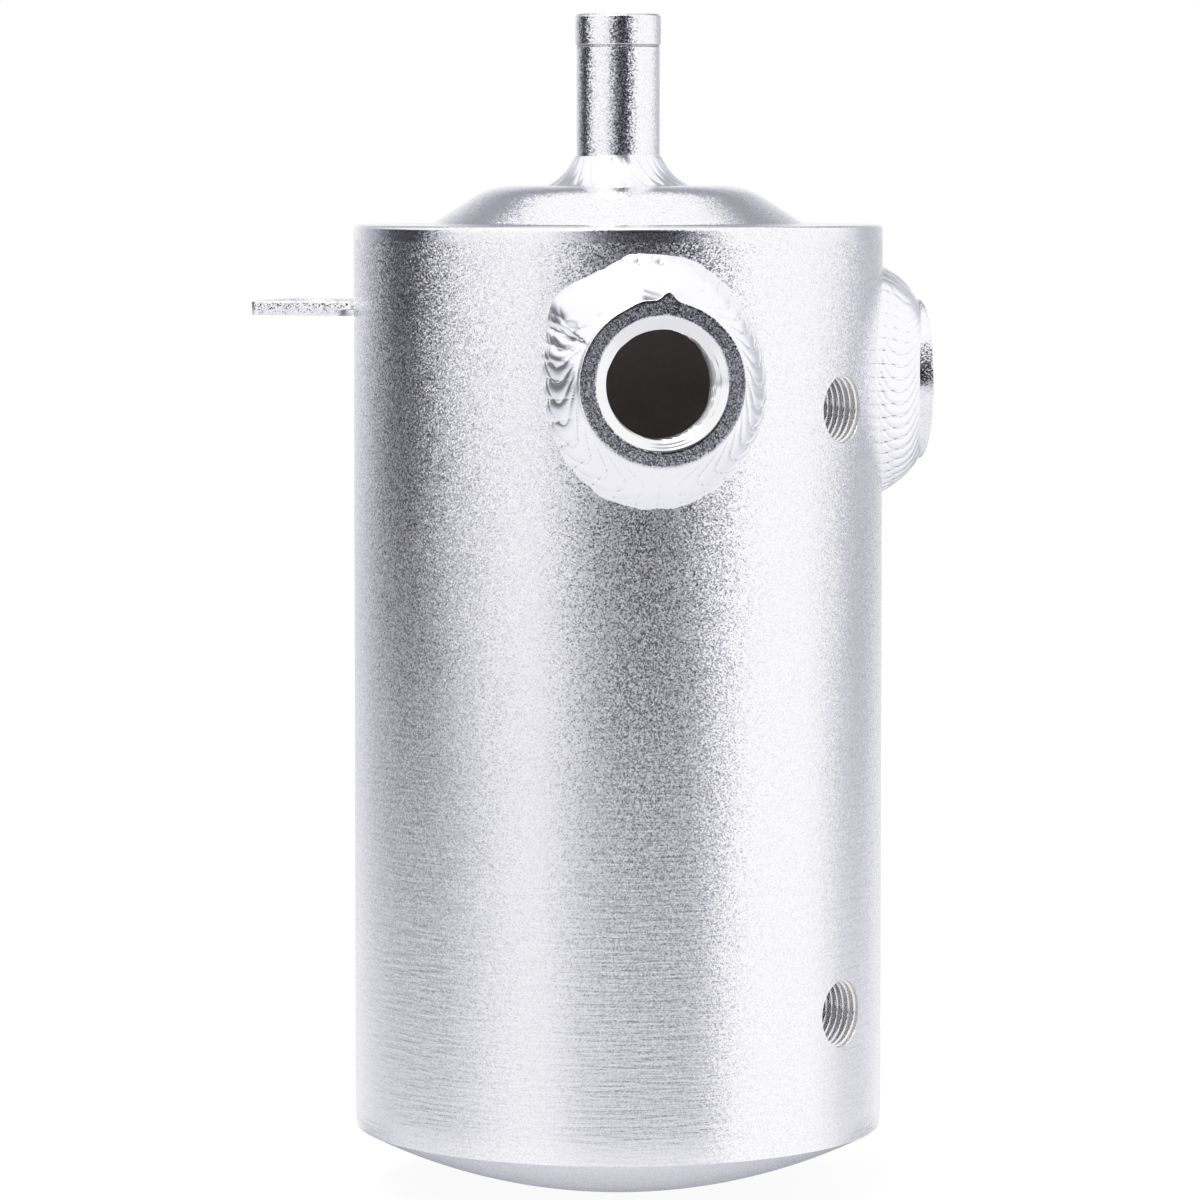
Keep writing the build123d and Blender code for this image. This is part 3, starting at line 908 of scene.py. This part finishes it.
def mounting_tab():
    """Flat tab with broken edges and a bolt hole."""
    edge_points = 4
    face_shares = (0.05, 0.35, 0.65, 0.95)  # rings on each face, from the outline to the hole
    outline = tab_outline()
    hole = np.array((TUBE_R + TAB_HOLE_REACH, 0.0))
    ahead = np.roll(outline, -1, axis=0) - np.roll(outline, 1, axis=0)
    outward = np.stack([ahead[:, 1], -ahead[:, 0]], axis=-1)
    outward /= np.linalg.norm(outward, axis=-1, keepdims=True)
    aim = outline - hole
    aim /= np.linalg.norm(aim, axis=-1, keepdims=True)
    hole_edge = hole + aim * TAB_HOLE_R
    parts = []

    def add(flat, level):
        parts.append(np.column_stack([flat, np.full(len(flat), level)]))

    lifts = np.linspace(0, math.pi / 2, edge_points)
    for lift in lifts:
        add(outline - outward * TAB_EDGE_BREAK * (1 - math.sin(lift)), TAB_EDGE_BREAK * (1 - math.cos(lift)))
    for lift in lifts[::-1]:
        add(outline - outward * TAB_EDGE_BREAK * (1 - math.sin(lift)),
            TAB_THICKNESS - TAB_EDGE_BREAK * (1 - math.cos(lift)))
    for share in face_shares:
        add(outline + (hole_edge - outline) * share, TAB_THICKNESS)
    add(hole_edge + aim * TAB_EDGE_BREAK, TAB_THICKNESS)
    add(hole_edge, TAB_THICKNESS - TAB_EDGE_BREAK)
    add(hole_edge, TAB_EDGE_BREAK)
    add(hole_edge + aim * TAB_EDGE_BREAK, 0)
    for share in reversed(face_shares):
        add(outline + (hole_edge - outline) * share, 0)
    loops = on_side(np.stack(parts, axis=1), TAB_PLACE)
    return make_ring("tab_look", "mounting_tab", loops, [sawn_tab])


def tab_bead():
    """Bead over the tab's root, from the underside of one edge over the top to the other edge."""
    half = TAB_WIDTH / 2
    count = 16
    rise_points, corner_points, over_points = 20, 12, 120
    straight = TAB_THICKNESS - TAB_BEAD_CORNER
    rise = np.linspace(0, straight, rise_points)
    over = np.linspace(-half + TAB_BEAD_CORNER, half - TAB_BEAD_CORNER, over_points)
    corner = np.linspace(0, math.pi / 2, corner_points)[1:-1]
    inward = TAB_BEAD_CORNER * (1 - np.cos(corner))
    upward = straight + TAB_BEAD_CORNER * np.sin(corner)
    path_y = np.concatenate([
        np.full_like(rise, -half), -half + inward, over, half - inward[::-1], np.full_like(rise, half),
    ])
    path_z = np.concatenate([rise, upward, np.full_like(over, TAB_THICKNESS), upward[::-1], rise[::-1]])
    side = np.clip((TAB_THICKNESS - TAB_BEAD_FACE_BAND - path_z) / TAB_BEAD_CHANGE, 0, 1)
    leg = TAB_BEAD_FACE_LEG + (TAB_BEAD_EDGE_LEG - TAB_BEAD_FACE_LEG) * side ** 2
    length = np.concatenate([[0], np.cumsum(np.hypot(np.diff(path_y), np.diff(path_z)))])
    share = np.linspace(0, 1, count)[None, :]
    phase = length[:, None] / TAB_BEAD_PITCH + TAB_BEAD_NEST * (2 * share - 1) ** 2
    relief = faded(TAB_BEAD_RELIEF * (ripple(phase) - RIPPLE_LEVEL), share, TAB_BEAD_EDGE_FADE)
    out_y = np.concatenate([
        np.full_like(rise, -1.0), -np.cos(corner), np.zeros_like(over), np.cos(corner[::-1]),
        np.ones_like(rise),
    ])
    out_z = np.sqrt(1 - out_y ** 2)
    toe_y = path_y + out_y * leg
    toe_z = path_z + out_z * leg
    toe = np.column_stack([np.sqrt(TUBE_R ** 2 - toe_y ** 2) - TAB_BEAD_TOE_SINK, toe_y, toe_z])
    root_x = np.sqrt(TUBE_R ** 2 - path_y ** 2)
    root = np.column_stack([root_x, path_y, path_z])
    crest = np.column_stack([root_x + leg, path_y, path_z])
    loops = on_side(bead_loops(toe, crest, root, TAB_BEAD_BULGE * side ** 2, relief), TAB_PLACE)
    stations, width = loops.shape[:2]
    faces = [f for f in ring_faces(stations, width).tolist() if abs(f[0] // width - f[1] // width) == 1]
    faces.append(list(range(width)))
    faces.append([(stations - 1) * width + k for k in reversed(range(width))])
    return make_piece("tab_bead_look", "tab_weld", loops, faces, [weld])


# Lobes of the hand-laid beads: degrees round the bung, half width, extra width and extra swell
FRONT_LOBES = (
    (139, 15, 2.2, 0.2),
    (152, 1.8, -0.5, -0.5),
    (166, 6, 0.5, 0.3),
    (101, 6, 0.5, 0.2),
    (73, 8, 0.3, 0.2),
    (-5, 32, 0.9, 0.2),
    (-90, 30, -0.5, 0.0),
    (-114, 7, 0.4, 0.1),
    (-97, 7, 0.4, 0.1),
    (-80, 7, 0.4, 0.1),
)
SIDE_LOBES = ((80, 12, 0.4, 0.2),)
FRONT_RIM_PEAKS = ((86, 5, 1.4), (104, 7, 0.3))

# Where a bead's ripples are smoothed out: degrees, half width and share
FRONT_SMOOTH = ((132, 20, 0.9), (80, 28, 0.8), (-90, 28, 0.5))
SIDE_SMOOTH = ((90, 40, 0.6), (140, 30, 0.4))

# Lumps and dents on the beads: degrees, share across the face, radius and height
FRONT_LUMPS = (
    (151, 0.55, 1.1, -0.5),
    (147, 0.64, 1.2, -0.6),
    (142, 0.73, 1.1, -0.5),
    (137, 0.77, 1.0, -0.4),
    (132, 0.8, 0.9, -0.3),
    (117, 0.35, 1.8, 0.3),
    (99, 0.12, 0.8, -0.6),
    (89, 0.12, 0.7, -0.6),
    (72, 0.5, 2.4, 0.3),
    (57, 0.6, 1.8, 0.25),
    (38, 0.55, 2.0, 0.2),
)
SIDE_LUMPS = ((95, 0.5, 2.2, 0.25),)

can_tube()
top_cap()
base_cap()
vent_nipple()
nipple_bead()
bung("front_bung_look", "front_bung", FRONT_PORT, FRONT_RIM_PEAKS)
bung("side_bung_look", "side_bung", SIDE_PORT)
bung_bead("front_bead_look", "front_bung_weld", FRONT_PORT, FRONT_BEAD_END_LEG, FRONT_BEAD_PITCH,
          FRONT_BEAD_TIGHTNESS, FRONT_LOBES, FRONT_SMOOTH, FRONT_LUMPS, FRONT_BEAD_SEED)
bung_bead("side_bead_look", "side_bung_weld", SIDE_PORT, SIDE_BEAD_END_LEG, SIDE_BEAD_PITCH,
          SIDE_BEAD_TIGHTNESS, SIDE_LOBES, SIDE_SMOOTH, SIDE_LUMPS, SIDE_BEAD_SEED)
sight_boss("upper_boss_look", "upper_sight_boss", UPPER_SIGHT)
sight_boss("lower_boss_look", "lower_sight_boss", LOWER_SIGHT)
mounting_tab()
tab_bead()


# Stage: floor, world, lamp and camera

CAMERA_TURN = math.radians(-7.95)  # left of the front bung's axis
CAMERA_DISTANCE = 915.0  # from the can's axis
CAMERA_RISE = 9.4  # above the lid's rim
CAMERA_PITCH = math.radians(3.2)
LENS = 163.2
SENSOR = 36.0
IMAGE = 1200.0
AXIS_PIXEL = 618.1  # the can's axis in the photograph
EYE_PIXEL = 168.3  # the eye level in the photograph
FLOOR_HALF = 6.0  # metres, as are the floor's and the lamp's other lengths
FLOOR_GLOW = 1.1
SHADOW_NEAR = 0.1  # distance from the base up to which the floor's shadow is full
SHADOW_FAR = 0.6  # and beyond which it has faded out
SHADOW_SHARE = 0.25
LAMP_SIZE = 0.9
LAMP_POWER = 6.0
LAMP_OFFSET = (-0.35, -0.3, 1.1)  # from the lid
NEAR_FLOOR_LEVEL = 0.84  # floor close to the can, as the metal sees it


def floor():
    """Pale floor under the base, lit to white, that keeps the can's shadow."""
    material = bpy.data.materials.new("pale_floor")
    material.use_nodes = True
    tree = material.node_tree
    tree.nodes.clear()
    glow = add_node(tree, "ShaderNodeEmission", Color=(1, 1, 1, 1), Strength=FLOOR_GLOW)
    paper = add_node(tree, "ShaderNodeBsdfDiffuse", Color=(0.9, 0.9, 0.9, 1))
    place = tree.nodes.new("ShaderNodeTexCoord").outputs["Object"]
    from_can = add_node(tree, "ShaderNodeVectorMath")
    from_can.operation = "DISTANCE"
    tree.links.new(place, from_can.inputs[0])
    from_can.inputs[1].default_value = (CAN_ORIGIN + np.array((0, 0, BASE_BOTTOM))) * MM
    shadow_share = span(tree, from_can.outputs["Value"], SHADOW_NEAR, SHADOW_FAR, SHADOW_SHARE, 0.0)
    blend = tree.nodes.new("ShaderNodeMixShader")
    tree.links.new(shadow_share, blend.inputs[0])
    tree.links.new(glow.outputs[0], blend.inputs[1])
    tree.links.new(paper.outputs[0], blend.inputs[2])
    output = tree.nodes.new("ShaderNodeOutputMaterial")
    tree.links.new(blend.outputs[0], output.inputs[0])
    mesh = bpy.data.meshes.new("floor")
    height = (CAN_ORIGIN[2] + BASE_BOTTOM) * MM
    corners = [(x * FLOOR_HALF, y * FLOOR_HALF, height) for x, y in ((-1, -1), (1, -1), (1, 1), (-1, 1))]
    mesh.from_pydata(corners, [], [(0, 1, 2, 3)])
    mesh.materials.append(material)
    ground = bpy.data.objects.new("floor", mesh)
    bpy.context.collection.objects.link(ground)
    ground.visible_glossy = False
    ground.visible_shadow = False


def studio():
    """White room for the camera; the metal sees it with darker walls at a few bearings."""
    world = bpy.data.worlds.new("studio")
    bpy.context.scene.world = world
    world.use_nodes = True
    tree = world.node_tree
    tree.nodes.clear()
    toward = tree.nodes.new("ShaderNodeTexCoord").outputs["Generated"]
    turn = tree.nodes.new("ShaderNodeVectorRotate")
    turn.rotation_type = "Z_AXIS"
    turn.inputs["Angle"].default_value = -CAMERA_TURN
    tree.links.new(toward, turn.inputs["Vector"])
    split = add_node(tree, "ShaderNodeSeparateXYZ", Vector=turn.outputs[0])
    behind = math_node(tree, "MULTIPLY", split.outputs["Y"], -1.0)
    bearing = math_node(tree, "ARCTAN2", split.outputs["X"], behind)
    around = span(tree, bearing, -math.pi, math.pi, 0.0, 1.0)
    rise = math_node(tree, "ARCSINE", split.outputs["Z"])
    height = span(tree, rise, -math.pi / 2, math.pi / 2, 0.0, 1.0)

    def at_bearing(degrees):
        return degrees / 360 + 0.5

    def at_height(degrees):
        return degrees / 180 + 0.5

    def ring(stops):
        """Share that changes round the room, from (bearing, share) stops."""
        return ramp(tree, around, [(at_bearing(bearing), grey(share)) for bearing, share in stops])

    def by_height(*stops):
        """Level that changes with height, from (degrees, level) stops."""
        return ramp(tree, height, [(at_height(degrees), grey(level)) for degrees, level in stops])

    white = grey(1.0)
    open_high = ring((
        (-174, 1.0), (-160, 0.9), (-131, 0.4), (-115, 0.03), (-94, 0.0), (-86, 0.5), (-76, 1.0), (-29, 1.0),
        (-17, 0.6), (-8, 0.12), (2, 0.0), (26, 0.0), (31, 0.2), (38, 0.6), (46, 1.0), (112, 0.97),
        (136, 0.48), (160, 0.66), (174, 1.0),
    ))
    open_low = ring((
        (-174, 0.8), (-160, 0.7), (-131, 0.24), (-112, 0.0), (-80, 0.0), (-67, 0.25), (-56, 0.54), (-44, 0.7),
        (-30, 0.72), (-16, 0.2), (8, 0.02), (38, 0.0), (48, 0.8), (56, 0.98), (96, 0.98), (116, 0.3),
        (134, 0.3), (160, 0.8), (174, 0.85),
    ))
    panels = by_height((-25, 0.9), (-10, 0.7), (-3, 0.07), (-1, 0.015))
    opening = mix_node(tree, by_height((-4.5, 0), (-1, 1)), open_low, open_high)
    walls = mix_node(tree, opening, panels, white)
    back_floor = ring(((-150, 0.35), (-110, 1.0), (110, 1.0), (150, 0.35)))
    floor_share = by_height((-60, 0.1), (-44, 0.25), (-14, 1), (-11, 0))
    near_floor = mix_node(tree, by_height((-40, 0), (-20, 1)), grey(NEAR_FLOOR_LEVEL), walls)
    low_room = vector_node(tree, "MULTIPLY", near_floor, mix_node(tree, floor_share, white, back_floor))
    high_room = mix_node(tree, by_height((12, 0), (26, 1)), low_room, white)
    front_panel = ring(((-14, 1.0), (-4, 0.12), (26, 0.12), (36, 1.0)))
    front_share = by_height((4, 0), (10, 1), (44, 1), (60, 0))
    behind_lens = mix_node(tree, front_share, white, front_panel)
    back_wall = ring(((-150, 0.34), (-125, 1.0), (125, 1.0), (150, 0.34)))
    wall_share = by_height((8, 0), (18, 0.45), (32, 1), (43, 1), (49, 0))
    behind_can = mix_node(tree, wall_share, white, back_wall)
    level = vector_node(tree, "MULTIPLY", vector_node(tree, "MULTIPLY", high_room, behind_lens), behind_can)
    room = ramp(tree, level, [(step, cool(step)) for step in (0.0, 0.25, 0.5, 0.75, 1.0)])
    path = tree.nodes.new("ShaderNodeLightPath")
    seen = mix_node(tree, path.outputs["Is Camera Ray"], room, white)
    background = add_node(tree, "ShaderNodeBackground", Strength=1.0)
    tree.links.new(seen, background.inputs["Color"])
    output = tree.nodes.new("ShaderNodeOutputWorld")
    tree.links.new(background.outputs[0], output.inputs[0])


def lamp():
    """Large soft lamp above the can, for the floor's shadow."""
    light = bpy.data.lights.new("soft_lamp", "AREA")
    light.shape = "DISK"
    light.size = LAMP_SIZE
    light.energy = LAMP_POWER
    holder = bpy.data.objects.new("soft_lamp", light)
    bpy.context.collection.objects.link(holder)
    aim = Vector(CAN_ORIGIN * MM)
    holder.location = aim + Vector(LAMP_OFFSET)
    holder.rotation_euler = (aim - holder.location).to_track_quat("-Z", "Y").to_euler()


def camera():
    """Camera at the photograph's bearing, aimed a little down, with the lens shifted to its eye level."""
    data = bpy.data.cameras.new("camera")
    data.lens = LENS
    data.sensor_width = SENSOR
    holder = bpy.data.objects.new("camera", data)
    bpy.context.collection.objects.link(holder)
    stand = np.array((math.sin(CAMERA_TURN), -math.cos(CAMERA_TURN), 0)) * CAMERA_DISTANCE
    holder.location = (CAN_ORIGIN + stand + np.array((0, 0, CAMERA_RISE))) * MM
    focal = LENS / SENSOR * IMAGE
    data.shift_y = (focal * math.tan(CAMERA_PITCH) - (IMAGE / 2 - EYE_PIXEL)) / IMAGE
    yaw = math.atan((AXIS_PIXEL - IMAGE / 2) / focal)
    heading = CAMERA_TURN + yaw
    sight = Vector((
        -math.sin(heading) * math.cos(CAMERA_PITCH), math.cos(heading) * math.cos(CAMERA_PITCH),
        -math.sin(CAMERA_PITCH),
    ))
    holder.rotation_euler = sight.to_track_quat("-Z", "Y").to_euler()
    bpy.context.scene.camera = holder


floor()
studio()
lamp()
camera()
bpy.context.scene.view_settings.view_transform = "Standard"
